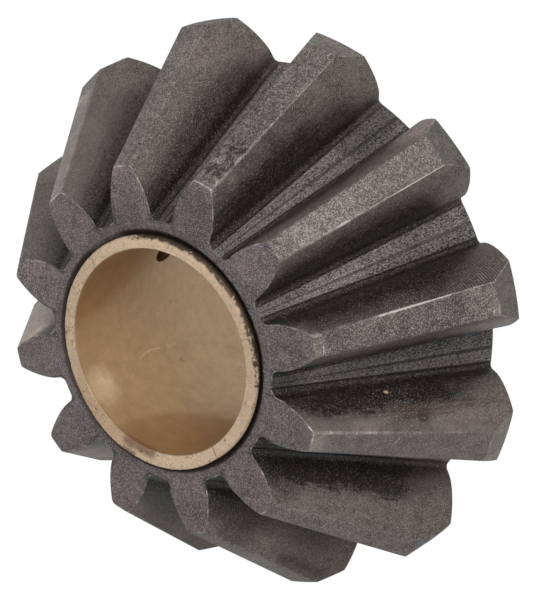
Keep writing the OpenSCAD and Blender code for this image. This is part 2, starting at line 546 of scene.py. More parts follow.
@dataclass(frozen=True)
class SteelFinish:
    """Dark phosphated steel: grainy faces, oily flanks, rough roots and bright worn edges, with painted
    glints, painted light and painted shade in places.
    """

    name: str = "phosphated_steel"
    toe: Colour = (0.1170, 0.0955, 0.0965)
    land: Colour = (0.129, 0.112, 0.103)
    flank: Colour = (0.119, 0.099, 0.089)
    root: Colour = (0.142, 0.129, 0.122)
    band: Colour = (0.108, 0.098, 0.087)
    oil: Colour = (0.0100, 0.0078, 0.0068)
    # colour of the painted glints
    glint: Colour = (0.28, 0.255, 0.225)
    bright: Colour = (0.50, 0.47, 0.44)
    brown: Colour = (0.055, 0.034, 0.025)
    dot: Colour = (0.62, 0.44, 0.28)
    # colour of the painted shade and grease in the bore chamfer, the groove and the oil hole
    groove: Colour = (0.045, 0.036, 0.033)
    grain: Noise = Noise(2.2, 2.0, 0.6)
    fine: Noise = Noise(5.2, 1.0, 0.6)
    patch: Noise = Noise(0.95, 2.0, 0.6)
    mottle: Noise = Noise(0.36, 4.0, 0.68)
    blot: Noise = Noise(0.075, 2.0, 0.5)
    streak: Noise = Noise(1.0, 4.0, 0.7, stretch=(1.5, 0.09, 1.0))
    ridge: Noise = Noise(1.0, 1.0, 0.5, stretch=(0.5, 0.02, 1.0))
    crumb: Noise = Noise(1.0, 2.0, 0.7, stretch=(3.5, 2.1, 1.0))
    broken: Noise = Noise(0.42, 3.0, 0.65)
    flaked: Noise = Noise(0.60, 3.0, 0.6)
    veined: Noise = Noise(0.62, 3.0, 0.60, 1.5)
    scattered: Noise = Noise(0.7)
    faded: Noise = Noise(0.5)
    oily: Tuple[OilPatch, ...] = (
        OilPatch(Spot((29.5, 16.0, 26.0), 15.0, 0.45), 0.0, 0.28, 0.55),
        OilPatch(Spot((29.0, -4.2, 34.0), 5.0), 0.10, 0.35, 0.55),
        OilPatch(Stroke((32.0, -3.4, 28.0), (35.5, -4.6, 22.0), 4.5), 0.30, 0.60, 0.55),
        OilPatch(Spot((36.4, -6.1, 24.3), 1.1, 0.8), -0.4, 0.1, 0.65),
        OilPatch(Spot((26.0, -19.5, 25.0), 14.0, 0.3), 0.10, 0.42, -0.36),
        OilPatch(Spot((24.7, -18.1, 27.0), 12.0, 0.35), 0.36, 0.60, 0.95),
        OilPatch(Spot((30.9, -22.0, 7.6), 4.0), -0.4, 0.1, -0.35),
        OilPatch(Spot((11.2, 26.0, 28.0), 9.0), 0.20, 0.45, 0.40),
        OilPatch(Spot((16.0, 35.2, 9.1), 4.0), -0.4, 0.1, -0.40),
        OilPatch(Spot((32.4, 23.8, 10.2), 4.5), -0.4, 0.1, -0.65),
        OilPatch(Stroke((-39.7, -7.5, 21.6), (-28.0, -4.4, 36.0), 5.0), -0.4, 0.1, -0.60),
        OilPatch(Spot((-3.7, 37.8, 8.1), 4.0), -0.4, 0.1, -0.40),
    )
    # tones: the steel's own lighter and darker places, together with painted light and painted shade
    tones_and_painted_light: Tuple[Tone, ...] = (
        Tone(Spot((34.0, 0.0, 18.0), 16.0, 0.4), Zone.ROOT, -0.36),
        Tone(Stroke((22.0, 12.0, 31.0), (25.5, 14.0, 22.0), 4.0, 0.4), Zone.ROOT, 0.24),
        Tone(Spot((16.8, 17.6, 40.1), 4.0), Zone.TOE, 0.20),
        Tone(Stroke((30.4, 9.2, 35.5), (38.2, 11.4, 24.1), 4.0, 0.4), Zone.LAND, -0.25),
        Tone(Spot((10.6, 33.2, 31.0), 6.0), Zone.LAND, -0.22),
        Tone(Stroke((9.4, -27.7, 38.3), (10.2, -29.9, 35.0), 6.0), Zone.LAND, -0.28),
        Tone(Spot((10.4, -28.9, 35.0), 3.5), Zone.FLANK, -0.40),
        # painted shade on a flank of a bottom tooth, under the toe
        Tone(Spot((-5.0, -31.3, 31.7), 6.5), Zone.FLANK, -0.42),
        Tone(Spot((14.0, -39.0, 19.0), 8.0), Zone.SIDE, -0.26),
        Tone(Spot((-4.9, 40.0, 12.8), 7.0), Zone.FLANK, 0.20),
        Tone(Spot((38.8, 14.3, 18.2), 7.0), Zone.FLANK, -0.32),
        Tone(Stroke((-39.7, -7.5, 21.6), (-28.0, -4.4, 36.0), 5.0), Zone.FLANK, 2.30),
        Tone(Stroke((-19.1, -24.1, 31.7), (-22.6, -27.9, 24.8), 6.0), Zone.FLANK, 0.85),
        Tone(Spot((-22.2, 6.0, 40.1), 4.5), Zone.TOE, 0.20),
        Tone(Spot((6.0, 22.2, 40.1), 4.0), Zone.TOE, -0.20),
        Tone(Spot((6.0, -22.2, 40.1), 4.0), Zone.TOE, 0.08),
        Tone(Stroke((15.8, 29.8, 13.8), (17.5, 32.9, 6.8), 3.0), Zone.ROOT, -0.50),
        Tone(Stroke((26.8, 9.9, 37.4), (36.0, 13.2, 23.0), 2.2), Zone.FLANK, -0.42),
        Tone(Spot((9.7, 24.9, 38.5), 3.0), Zone.FLANK, -0.35),
        Tone(Spot((12.4, 33.4, 26.8), 4.0), Zone.FLANK, -0.30),
        Tone(Spot((40.4, -7.6, 20.5), 4.0), Zone.FLANK, 0.30),
        # painted shade on the flanks under the toe of the bottom teeth, this line and the next
        Tone(Stroke((-2.4, -24.0, 36.0), (-3.2, -27.5, 30.5), 3.5), Zone.FLANK, -0.45),
        Tone(Stroke((9.8, -22.6, 36.5), (11.2, -26.0, 31.0), 3.5), Zone.FLANK, -0.40),
        Tone(Stroke((10.8, 29.1, 33.3), (11.3, 31.1, 31.0), 3.0), Zone.FLANK, -0.40),
        # painted shade on the side under the toe of a bottom tooth
        Tone(Spot((-2.2, -22.8, 38.0), 3.5), Zone.SIDE, -0.62),
        Tone(Spot((18.5, -13.6, 39.3), 3.0), Zone.SIDE, -0.40),
        Tone(Spot((9.5, -21.6, 38.0), 3.0), Zone.SIDE, -0.35),
        Tone(Spot((20.7, -16.1, 37.0), 3.0), Zone.SIDE, -0.40),
        Tone(Stroke((-21.4, 20.6, 38.4), (-30.0, 28.5, 22.1), 3.2), Zone.LAND, 0.85),
        Tone(Spot((-41.0, 15.5, 13.5), 5.0), Zone.FLANK, 0.35),
        Tone(Spot((25.5, 33.1, 12.4), 4.0), Zone.FLANK, 0.40),
        Tone(Spot((42.9, -12.0, 13.3), 6.0), Zone.BAND, 0.95),
        # painted light on a flank that faces away from the lamp
        Tone(Stroke((38.5, 5.2, 20.0), (42.0, 6.4, 14.0), 2.8), Zone.FLANK, 0.90),
        Tone(Spot((26.9, -8.6, 39.9), 2.4), Zone.SIDE, 0.60),
        Tone(Spot((-26.5, 9.0, 40.0), 3.5), Zone.TOE, 0.35),
        Tone(Stroke((22.6, 22.0, 36.0), (25.6, 24.3, 30.5), 3.0), Zone.LAND, 0.30),
        Tone(Spot((-8.3, -41.7, 19.5), 6.0), Zone.SIDE, -0.34),
        Tone(Spot((32.4, 23.7, 9.9), 4.0), Zone.SIDE, 0.50),
        Tone(Spot((26.3, 33.0, 14.2), 4.0), Zone.SIDE, 0.34),
        Tone(Spot((31.3, -5.0, 31.6), 3.0), Zone.FLANK, 0.45),
        Tone(Spot((-24.0, -2.5, 37.5), 3.0), Zone.SIDE, 0.40),
        Tone(Spot((-8.6, 27.2, 40.1), 2.5), Zone.TOE, 0.35),
        Tone(Spot((-32.2, 30.5, 17.9), 5.0), Zone.LAND, 0.30),
        Tone(Spot((-8.8, 40.2, 21.6), 3.0), Zone.SIDE, 0.30),
        Tone(Spot((-6.0, 18.9, 40.1), 3.0), Zone.TOE, -0.30),
        Tone(Spot((11.0, 43.2, 13.5), 6.0), Zone.BAND, 0.45),
    )
    calm: Tuple[Region, ...] = (
        Stroke((28.7, -7.1, 38.5), (42.8, -10.7, 18.2), 4.0, 0.3),
        Spot((-21.5, 26.0, 29.0), 12.0, 0.4),
    )
    worn_tips: Tuple[Region, ...] = (
        Stroke((25.3, 22.0, 33.0), (33.7, 29.9, 16.6), 1.5, 0.4),
        Stroke((32.9, 11.2, 30.6), (42.5, 13.9, 17.4), 1.5, 0.4),
    )
    burnished: Tuple[Region, ...] = (
        Stroke((30.4, 27.0, 22.4), (33.7, 29.9, 16.6), 1.2, 0.4),
        Stroke((34.0, 11.5, 29.3), (36.4, 12.3, 26.0), 1.2, 0.4),
    )
    dotted_tips: Tuple[Region, ...] = (
        Stroke((22.5, 19.8, 37.2), (25.3, 22.0, 33.0), 1.5, 0.4),
        Stroke((28.2, -5.6, 38.5), (33.4, -6.6, 31.0), 1.5, 0.4),
        Stroke((9.0, 27.3, 39.6), (13.8, 42.0, 17.5), 1.5, 0.4),
    )
    chipped: Tuple[Region, ...] = (
        Spot((8.3, 27.2, 40.1), 1.7, 0.4),
        Spot((-6.6, 27.6, 40.1), 1.2, 0.3),
        Spot((-20.9, 20.2, 39.3), 2.2, 0.4),
        Spot((27.5, -6.0, 40.1), 1.4, 0.4),
    )
    # regions with more dust specks and stronger painted glints
    dust_and_glint: Tuple[Region, ...] = (
        Spot((-5.8, 35.4, 25.6), 6.0, 0.6),
        Spot((-5.1, 30.4, 33.8), 5.0, 0.6),
        Spot((23.0, 24.3, 33.0), 6.0, 0.6),
        Spot((34.0, -4.5, 27.0), 5.0, 0.6),
        Spot((35.0, 10.5, 27.5), 4.0, 0.6),
    )
    tooled: Spot = Spot((38.2, 13.6, 20.0), 8.5)
    scarred: Spot = Spot((8.1, 30.6, 35.8), 4.8, 0.3)
    scuffs: Tuple[Region, ...] = (
        Stroke((12.6, -35.6, 25.0), (14.45, -40.96, 16.89), 0.8, 0.9),
        Spot((30.0, -26.3, 23.1), 0.45, 0.8),
        Spot((43.2, 9.5, 18.1), 0.4, 0.8),
        Spot((42.0, 13.5, 18.2), 0.4, 0.8),
        Spot((-39.2, 13.6, 20.3), 0.4),
    )
    scratches: Tuple[Region, ...] = (
        Stroke((34.69, -9.41, 29.66), (35.46, -8.29, 29.0), 0.07),
        Stroke((24.09, -24.98, 31.39), (25.09, -23.96, 31.4), 0.08),
        Stroke((43.47, 10.46, 17.38), (43.45, 8.97, 17.6), 0.10),
        Stroke((28.35, 8.6, 39.0), (28.35, 6.2, 39.2), 0.12),
    )
    browned: Tuple[Region, ...] = (
        Stroke((33.5, -4.9, 27.0), (39.72, -5.54, 15.92), 0.85, 0.8),
        Stroke((35.0, -5.8, 26.5), (38.68, -6.12, 19.93), 0.5, 0.8),
    )
    beige_dot: Spot = Spot((30.76, -3.27, 25.66), 0.34, 0.4)
    # places where the tooth spaces get no painted shade and grime at the toe
    lighter_mouths: Tuple[Region, ...] = (
        Spot((11.0, 19.0, 37.8), 7.0),
        Spot((19.0, 11.0, 37.8), 7.0),
    )
    # a stretch of the groove's rim that gets less painted shade and grease
    lighter_groove_rim: Spot = Spot((-10.7, 15.2, 40.1), 3.4)
    hole: OilHole = OilHole()
    # radii of the dark groove and of the soft painted shade round it on the toe face
    grease_shade_ends: Span = (19.10, 18.84)
    shade_halo_ends: Span = (20.4, 18.9)
    mouth_r: Span = (19.7, 20.4)
    mouth_z: Span = (32.0, 39.0)
    root_ends: Span = (0.05, -0.55)
    tip_ends: Span = (0.11, 0.02)
    rim_ends: Span = (0.20, 0.02)
    mark_pitch: float = 0.45
    mark_bow: float = 4.0
    mark_share: float = 0.62
    shade_and_grime_share: float = 0.62
    calm_share: float = 0.55
    darkest_speckle: float = -0.44
    darkest_gain: float = 0.10
    thickest_film: float = 0.96
    bump_mm: float = 0.10

    def material(self) -> bpy.types.Material:
        """Builds the shader from the mesh's marks and from noise in millimetres.

        Returns:
            The material.
        """
        made = bpy.data.materials.new(self.name)
        g = Graph(made)
        tooth = g.attribute(TOOTH_CO, "Vector")
        grain, fine, patch = (g.noise(g.place, n) for n in (self.grain, self.fine, self.patch))
        mottle, blot = (g.noise(g.place, n) for n in (self.mottle, self.blot))
        streak, ridge, crumb = (g.noise(tooth, n) for n in (self.streak, self.ridge, self.crumb))

        toe, land = g.mark(Mark.TOE), g.mark(Mark.LAND)
        ends = (g.mark(Mark.BAND) + g.mark(Mark.BACK)).least(1.0)
        depth = g.mark(Mark.DEPTH)
        side = (1.0 - toe) * (1.0 - ends)
        top = land * side
        rooted = g.mark(Mark.FOOT).rise(*self.root_ends) * side
        flank = side * (1.0 - land) * (1.0 - rooted)

        colour = g.mix(toe, self.flank, self.toe)
        for zone, paint in ((top, self.land), (rooted, self.root), (ends, self.band)):
            colour = g.mix(zone, colour, paint)
        lively = 1.0 - any_of(g, self.calm) * self.calm_share
        speckle = fine.swing(2.6 + 2.5 * top + 0.8 * toe) + grain.swing(1.3 + 0.9 * top)
        speckle = speckle + patch.swing(0.9 + 0.7 * top)
        gain = 1.0 + speckle.most(self.darkest_speckle) * lively + mottle.swing(1.1) + blot.swing(0.7)
        gain = gain + rooted * (crumb.swing(5.2) + streak.swing(1.5) + ridge.swing(1.3))
        gain = gain * (1.0 + self._tool_marks(g, tooth, depth, flank) * self.mark_share)
        radius = g.radius()
        # darkening where the tooth spaces open at the toe: painted shade and grime
        gain = gain * (1.0 - self._mouth_shade_and_grime(g, radius) * (toe + side).least(1.0) * self.shade_and_grime_share)
        zones = {Zone.TOE: toe, Zone.LAND: top, Zone.FLANK: flank}
        zones.update({Zone.ROOT: rooted, Zone.SIDE: side, Zone.BAND: ends})
        # the tones scale the gain; some of them are painted light and painted shade
        for tone in self.tones_and_painted_light:
            gain = gain * (1.0 + tone.region.mask(g) * zones[tone.zone] * tone.change)
        colour = g.tinted(colour, gain.most(self.darkest_gain))
        film = self._oil(g, depth, flank, mottle, streak)
        film = film * (1.0 + grain.swing(2.0) + patch.swing(1.0))
        colour = g.mix(film.least(self.thickest_film), colour, self.oil)
        brown = any_of(g, self.browned) * streak.rise(0.36, 0.58) * flank
        colour = g.mix(brown * 0.85, colour, self.brown)

        # painted glints: bright specks on the flanks, roots, lands and toe, in the glint colour
        dust_and_glint = any_of(g, self.dust_and_glint)
        shine = 0.50 * flank + 0.26 * rooted + 0.70 * top + 0.64 * toe + dust_and_glint * 0.44 * side
        spark = fine.rise(0.57, 0.75) * shine * lively
        colour = g.mix(spark.least(0.75), colour, self.glint)
        edge = self._edges(g, side, fine)
        colour = g.mix(edge, colour, self.bright)
        dust = g.specks(g.place, scale=0.95, size=0.14) * (side + toe * 0.7).least(1.0)
        dust = dust * (mottle.rise(0.55, 0.70) * 0.5 + dust_and_glint * 0.5)
        colour = g.mix(dust.least(0.8), colour, self.bright)
        colour, scars = self._damage(g, colour, top, patch, grain, fine)
        colour = g.mix(self.beige_dot.mask(g), colour, self.dot)
        # painted shade and grease: the bore chamfer and the gap at the bush darkened, a soft painted shade
        # round it on the toe face, and painted shade on the oil hole's walls
        uneven = radius + grain.swing(0.5) + patch.swing(0.4)
        greased_and_shaded = g.mark(Mark.GROOVE).most(uneven.rise(*self.grease_shade_ends) * toe)
        greased_and_shaded = greased_and_shaded * (1.0 - self.lighter_groove_rim.mask(g) * 0.8)
        shaded_lining = self.hole.shaded_lining().mask(g)
        greased_and_shaded = greased_and_shaded.most(uneven.rise(*self.shade_halo_ends) * toe * 0.22).most(shaded_lining * 0.60)
        colour = g.mix(greased_and_shaded * 0.96, colour, self.groove)

        cast = crumb * 1.8 + streak * 0.8 + ridge * 2.0
        height = grain * 0.6 + fine * 0.5 - scars * 0.8 + rooted * cast
        g.surface(
            {
                "Base Color": colour,
                "Metallic": 0.22 + 0.70 * greased_and_shaded,
                "Roughness": 0.60 - 0.16 * film + grain.swing(0.3) - 0.15 * edge,
                "Specular IOR Level": 0.22,
                "Normal": g.bump(height, self.bump_mm),
            }
        )
        return made

    def _mouth_shade_and_grime(self, g: Graph, radius: Sock) -> Sock:
        """Painted shade and grime where the tooth spaces open at the toe: strongest midway between two
        teeth.

        Args:
            g: the graph.
            radius: distance from the axis.
        Returns:
            The painted shade and grime, 0 to 1.
        """
        x, y, z = (g.part(g.place, axis) for axis in "XYZ")
        midway = (y.angle(x) * float(TEETH) + 0.5 * math.pi).sine().rise(0.0, 0.5)
        kept = 1.0 - any_of(g, self.lighter_mouths)
        return midway * radius.rise(*self.mouth_r) * z.rise(*self.mouth_z) * kept

    def _oil(self, g: Graph, depth: Sock, flank: Sock, mottle: Sock, streak: Sock) -> Sock:
        """Dried oil on the flanks, thickest at the foot and in some tooth spaces, thin near the heel.

        Args:
            g: the graph.
            depth: 0 at the tip, 1 at the root.
            flank: 1 on the flanks.
            mottle: coarse noise.
            streak: noise along the teeth.
        Returns:
            The film's thickness, 0 to 1.
        """
        thinned = g.mark(Mark.HEEL).rise(11.0, 1.0) * 0.32
        level = depth + mottle.swing(0.6) + streak.swing(0.3) - thinned
        film = level.rise(0.20, 0.58) * 0.66 + depth.rise(0.70, 0.90) * 0.36
        for patch in self.oily:
            film = film + patch.region.mask(g) * level.rise(patch.start, patch.full) * patch.amount
        return (film * flank).most(0.0).least(self.thickest_film)

    def _edges(self, g: Graph, side: Sock, fine: Sock) -> Sock:
        """Wear along the tooth edges, broken up along their length and by the grain.

        Args:
            g: the graph.
            side: 1 on the teeth's own surfaces.
            fine: fine noise.
        Returns:
            The wear, 0 to 1.
        """
        broken = g.noise(g.place, self.broken).rise(0.42, 0.62)
        flaked = g.noise(g.place, self.flaked).rise(0.48, 0.62)
        worn = any_of(g, self.worn_tips) * (0.32 + 0.74 * broken)
        worn = worn.most(any_of(g, self.burnished) * 1.25)
        dotted = any_of(g, self.dotted_tips) * (0.10 + 0.30 * flaked)
        along = abs(g.mark(Mark.TIP)).rise(*self.tip_ends) * side * (broken * 0.14 + worn.most(dotted))
        chipped = any_of(g, self.chipped) * (0.25 + 0.75 * broken)
        at_end = g.mark(Mark.END).rise(*self.rim_ends) * (0.05 + flaked * 0.40 + chipped * 0.6)
        at_heel = g.mark(Mark.HEEL).rise(*self.rim_ends) * (0.08 + flaked * 0.40)
        return (along.most(at_end).most(at_heel) * (0.20 + 1.6 * fine)).least(0.9)

    def _damage(
        self, g: Graph, colour: Sock, top: Sock, patch: Sock, grain: Sock, fine: Sock
    ) -> Tuple[Sock, Sock]:
        """Crooked forging scars on one land, pits, scuffs and light scratches.

        Args:
            g: the graph.
            colour: the colour so far.
            top: 1 on the top lands.
            patch: coarse noise.
            grain: medium noise.
            fine: fine noise.
        Returns:
            The damaged colour, and the scars, 0 to 1.
        """
        marred = self.scarred.mask(g) * top
        veins = abs(g.noise(g.place, self.veined) - NOISE_MEAN).rise(0.080, 0.035)
        scars = marred * veins * g.noise(g.place, self.scattered).rise(0.38, 0.52)
        rough = marred * grain.rise(0.52, 0.64)
        pores = g.specks(g.place, scale=0.8, size=0.14) * grain.rise(0.42, 0.30) * 0.6
        pits = any_of(g, self.scuffs) * (0.3 + 0.7 * grain.rise(0.44, 0.56)) * 0.75
        # painted glints on the scarred land
        colour = g.mix(marred * patch.rise(0.44, 0.62) * 0.30, colour, self.glint)
        colour = g.mix(rough * 0.30, colour, self.oil)
        colour = g.mix(pores.most(pits).most(scars * 0.9) * 0.85, colour, self.oil)
        scratched = any_of(g, self.scratches) * fine.rise(0.30, 0.55)
        return g.mix(scratched * 0.55, colour, self.bright), scars

    def _tool_marks(self, g: Graph, tooth: Sock, depth: Sock, flank: Sock) -> Sock:
        """Curved cutter marks across the flanks near the heel.

        Args:
            g: the graph.
            tooth: place on the tooth, along the outline and along the tooth.
            depth: 0 at the tip, 1 at the root.
            flank: 1 on the flanks.
        Returns:
            Marks from -1 to 1.
        """
        reach = g.part(tooth, "Y")
        phase = (reach + depth * depth * self.mark_bow) * (2.0 * math.pi / self.mark_pitch)
        where = self.tooled.mask(g) + g.mark(Mark.HEEL).rise(12.0, 2.0) * 0.2
        return phase.sine() * where * flank * g.noise(g.place, self.faded).rise(0.36, 0.56)


@dataclass(frozen=True)
class BronzeFinish:
    """Bored bronze: a pale cut ring, a bore with painted shade near its mouth, a painted pool of light and
    painted light towards its far end, and a dark seam outside painted as shade and grease.
    """

    name: str = "bored_bronze"
    ring: Colour = (0.437, 0.324, 0.219)
    fresh: Colour = (0.510, 0.381, 0.263)
    bore: Colour = (0.440, 0.287, 0.148)
    # tarnish colour, also used for painted shade near the bore's mouth
    tarnish_and_shade: Colour = (0.350, 0.198, 0.088)
    # pale bronze, for scratches and for painted light in the bore
    pale: Colour = (0.70, 0.52, 0.32)
    dirt: Colour = (0.022, 0.013, 0.008)
    stain: Colour = (0.150, 0.072, 0.034)
    # colour of the painted shade and grease on the bush's outer wall
    seam_grease_shade: Colour = (0.014, 0.010, 0.008)
    grain: Noise = Noise(2.2, 3.0, 0.62)
    fine: Noise = Noise(4.5, 2.0, 0.6)
    cloud: Noise = Noise(0.16, 3.0, 0.55, 0.4)
    blotch: Noise = Noise(0.5, 3.0, 0.6)
    turned: Noise = Noise(1.0, 3.0, 0.6, stretch=(0.06, 0.06, 1.8))
    hair: Noise = Noise(9.0, 4.0, 0.72)
    crazed: Noise = Noise(0.45, 3.0, 0.6, 0.6)
    # painted shade on the bore wall near its mouth, on two sides
    shaded: Tuple[Spot, ...] = (
        Spot((-13.9, 7.8, 39.0), 7.1, 0.25, 0.6),
        Spot((1.4, -15.9, 39.0), 9.4, 0.10, 0.6),
    )
    # a painted pool of light on the bore wall near its mouth
    lit: Spot = Spot((-12.9, -9.5, 37.4), 2.6, 0.7)
    light_ring: Tuple[Spot, ...] = (
        Spot((0.0, 17.0, 40.6), 12.0),
        Spot((4.0, -16.5, 40.6), 12.0),
    )
    tanned: Spot = Spot((-11.0, -12.6, 40.5), 6.5)
    soiled: Spot = Spot((10.5, 14.0, 40.5), 15.5, 0.4)
    cracks: Tuple[Region, ...] = (
        Stroke((10.27, -12.42, 40.64), (11.13, -14.03, 40.64), 0.10),
        Stroke((15.10, 5.60, 40.64), (16.32, 6.04, 40.64), 0.08),
    )
    stained: Tuple[Region, ...] = (
        Stroke((-5.7, -15.6, 40.5), (-1.2, -16.5, 40.5), 0.85, 0.8),
        Stroke((-6.3, -17.1, 40.5), (-4.6, -17.6, 40.5), 0.45, 0.8),
    )
    hole: OilHole = OilHole()
    scratches: Tuple[Region, ...] = (
        Stroke((-13.66, -8.34, 27.4), (-13.84, -8.03, 26.4), 0.12),
        Stroke((-13.84, -8.03, 26.4), (-13.94, -7.86, 25.1), 0.16),
        Stroke((-13.94, -7.86, 25.1), (-13.93, -7.86, 23.5), 0.16),
        Stroke((-13.93, -7.86, 23.5), (-13.81, -8.08, 21.9), 0.12),
        Stroke((-13.69, -8.28, 20.2), (-13.58, -8.46, 18.0), 0.07),
        Stroke((-13.56, -8.5, 15.6), (-13.35, -8.82, 12.6), 0.06),
    )
    smudges: Tuple[Region, ...] = (
        Stroke((-15.84, -2.23, 16.72), (-15.82, -2.41, 15.13), 0.30, 0.8),
        Spot((-11.96, -10.63, 18.51), 0.6, 0.8),
    )
    rim_ends: Span = (17.30, 17.75)
    worn_ends: Span = (18.1, 17.6)
    # heights over which the bore is painted lighter towards its far end
    painted_light_ends: Span = (27.0, 4.0)
    darkest_gain: float = 0.2
    bump_mm: float = 0.03

    def material(self) -> bpy.types.Material:
        """Builds the shader from the bush's marks and from noise in millimetres.

        Returns:
            The material.
        """
        made = bpy.data.materials.new(self.name)
        g = Graph(made)
        grain, fine, cloud = (g.noise(g.place, n) for n in (self.grain, self.fine, self.cloud))
        blotch, turned = (g.noise(g.place, n) for n in (self.blotch, self.turned))
        face = g.attribute(RING_FACE, "Fac")
        outer = g.attribute(RING_OUTER, "Fac")
        height = g.part(g.place, "Z")

        # painted light: the bore paler towards its far end
        colour = g.mix(height.rise(*self.painted_light_ends) * 0.55, self.bore, self.pale)
        # painted shade near the bore's mouth, in the tarnish colour
        for spot in self.shaded:
            colour = g.mix(spot.mask(g) * 0.80, colour, self.tarnish_and_shade)
        # painted light: the lit patch near the mouth
        colour = g.mix(self.lit.mask(g) * 0.95, colour, self.pale)
        colour = g.mix(cloud.rise(0.54, 0.74) * 0.22, colour, self.tarnish_and_shade)
        colour = g.mix(any_of(g, self.scratches) * 0.42, colour, self.pale)
        colour = g.mix(face, colour, self.ring)
        colour = g.mix(any_of(g, self.light_ring) * face, colour, self.fresh)
        colour = g.mix(self.tanned.mask(g) * face * 0.4, colour, self.tarnish_and_shade)
        gain = 1.0 + grain.swing(0.3 + 0.5 * face) + fine.swing(0.6) * face
        # the last term is painted shade where the ring face meets the bore and the outer wall, damping the
        # highlight on those edges
        gain = gain + blotch.swing(0.5) + turned.swing(0.2) * (1.0 - face) - face * (1.0 - face) * 1.8
        colour = g.tinted(colour, gain.most(self.darkest_gain))
        brown = any_of(g, self.stained) * (grain * 0.5 + blotch * 0.5).rise(0.30, 0.48)
        # painted shade on the oil hole's walls, in the stain colour, together with the real brown stains
        shaded_lining = self.hole.shaded_lining().mask(g)
        colour = g.mix((brown * 0.8).most(shaded_lining * 0.85), colour, self.stain)
        dirt = self._dirt(g, face, grain, blotch)
        colour = g.mix(dirt, colour, self.dirt)
        # darkens the bush's outer wall: painted shade and grease where it shows in the groove
        colour = g.mix(outer, colour, self.seam_grease_shade)
        g.surface(
            {
                "Base Color": colour,
                "Metallic": 0.36 + 0.60 * dirt,
                "Roughness": 0.40 + 0.16 * face + grain.swing(0.16),
                "Normal": g.bump(grain * 0.6 + blotch * 0.4 * face, self.bump_mm),
            }
        )
        return made

    def _dirt(self, g: Graph, face: Sock, grain: Sock, blotch: Sock) -> Sock:
        """Cracks and a stained rim on the ring face and a few specks in the bore.

        Args:
            g: the graph.
            face: 1 on the ring face.
            grain: fine noise.
            blotch: coarse noise.
        Returns:
            The dirt, 0 to 1.
        """
        radius = g.radius()
        hair = g.noise(g.vector("NORMALIZE", g.scaled(g.place, ACROSS)), self.hair)
        rim = (radius + hair.swing(1.6)).rise(*self.rim_ends) * face
        soiled = self.soiled.mask(g)
        level = g.noise(g.place, self.crazed)
        cracks = abs(level - NOISE_MEAN).rise(0.018, 0.006) * blotch.rise(0.48, 0.60) * face * 0.65
        cracks = cracks.most(any_of(g, self.cracks) * face * 0.7)
        stain = rim * (grain * 0.6 + blotch * 0.6 + soiled * 0.30 - 0.14).rise(0.56, 0.68) * 0.92
        stain = stain * (1.0 - hair.rise(0.60, 0.68) * radius.rise(*self.worn_ends) * 0.7)
        specks = g.specks(g.place, scale=0.55, size=0.10) * grain.rise(0.50, 0.62) * 0.5
        specks = specks.most(any_of(g, self.smudges) * grain.rise(0.42, 0.60) * 0.4)
        return cracks.most(stain).most(specks)


def turn_points(radius: Any, turn: Any, height: Any) -> np.ndarray:
    """Points from cylinder coordinates: x = r cos a, y = r sin a, z.

    Args:
        radius: distances from the axis.
        turn: angles in radians.
        height: heights.
    Returns:
        The points, with x, y and z along the last axis.
    """
    radius, turn, height = np.broadcast_arrays(radius, turn, height)
    return np.stack([radius * np.cos(turn), radius * np.sin(turn), height], axis=-1)


def bearing(angle: np.ndarray) -> np.ndarray:
    """Unit vectors at angles from the y axis, as x and y."""
    return np.stack([np.sin(angle), np.cos(angle)], axis=-1)


def shares(steps: int) -> np.ndarray:
    """Equal shares of a way, from one step to the whole, as a column."""
    return (np.arange(1, steps + 1) / steps)[:, None]


def corner_arc(first: np.ndarray, corner: np.ndarray, last: np.ndarray, steps: int) -> np.ndarray:
    """Rounded corners: parabolas from first to last that are tangent to both legs at the corner.

    Args:
        first: start points.
        corner: the sharp corners.
        last: end points.
        steps: number of segments.
    Returns:
        Rows of points after the first, the last row being the end points.
    """
    t = shares(steps)[:, None]
    return (1 - t) ** 2 * first + 2 * t * (1 - t) * corner + t**2 * last


def ragged(turn: np.ndarray, waves: Sequence[int]) -> np.ndarray:
    """An uneven wave round a circle: a sum of sines of several counts, each with its own phase.

    Args:
        turn: angles in radians.
        waves: how often each sine goes round.
    Returns:
        The wave at each angle, from -1 to 1.
    """
    parts = [np.sin(n * turn + 1.7 * k * k + 0.4) / (1 + 0.5 * k) for k, n in enumerate(waves)]
    total = np.sum(parts, axis=0)
    return total / np.abs(total).max()


